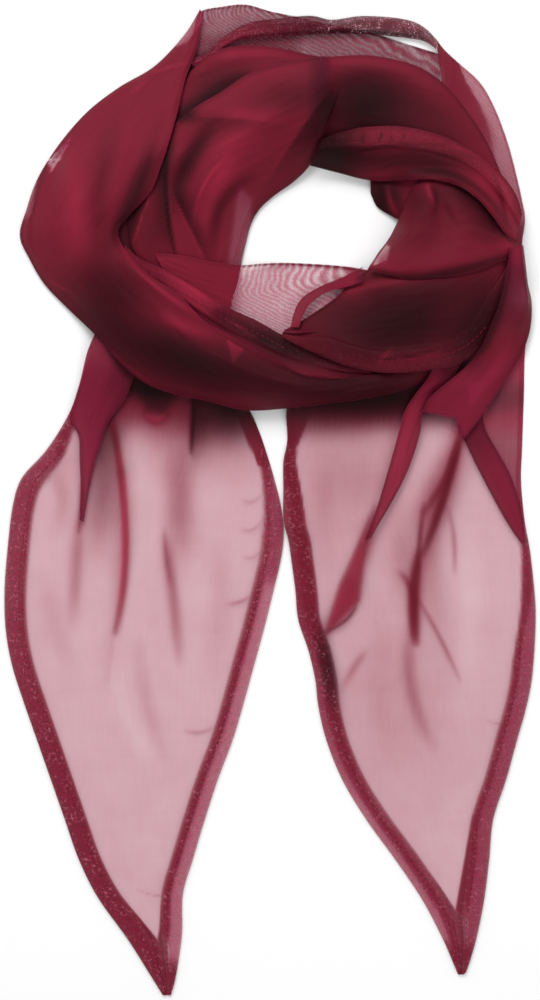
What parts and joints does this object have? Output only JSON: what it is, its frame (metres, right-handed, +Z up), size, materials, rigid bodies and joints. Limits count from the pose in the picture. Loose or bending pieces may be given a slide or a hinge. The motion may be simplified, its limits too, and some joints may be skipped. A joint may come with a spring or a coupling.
{
  "type": "chiffon scarf",
  "caption": "Long sheer chiffon scarf laid flat, wound into a ring round an open neck, with two pointed hemmed tails hanging below it.",
  "frame": {"origin": "middle of the underside, on the table the scarf lies on", "axes": "+Z up from the table, +Y from the tails' points to the back of the ring, +X to the right seen from above"},
  "size_m": [0.2655, 0.4958, 0.0237],
  "materials": {
    "sheer_chiffon": "single sheer layer of burgundy chiffon",
    "folded_chiffon": "two layers of burgundy chiffon",
    "bunched_chiffon": "many layers of burgundy chiffon",
    "shaded_chiffon": "many shaded layers of burgundy chiffon"
  },
  "bodies": {
    "root": {"hidden_layers": "shaded_chiffon", "back_sheet": "sheer_chiffon", "right_sheet": "sheer_chiffon", "edge_roll": "bunched_chiffon", "left_tail": "sheer_chiffon", "right_tail": "sheer_chiffon", "left_tail_flap": "folded_chiffon", "diagonal_fold": "folded_chiffon", "back_loop": "bunched_chiffon", "back_band": "shaded_chiffon", "inner_band": "bunched_chiffon", "hole_sheet": "sheer_chiffon", "front_under": "bunched_chiffon", "front_band": "folded_chiffon", "knot": "shaded_chiffon", "lower_fold": "folded_chiffon", "cowl": "shaded_chiffon", "rolled_edge": "folded_chiffon", "twist": "folded_chiffon", "collar": "bunched_chiffon", "shoulder": "folded_chiffon"}
  },
  "joints": []
}
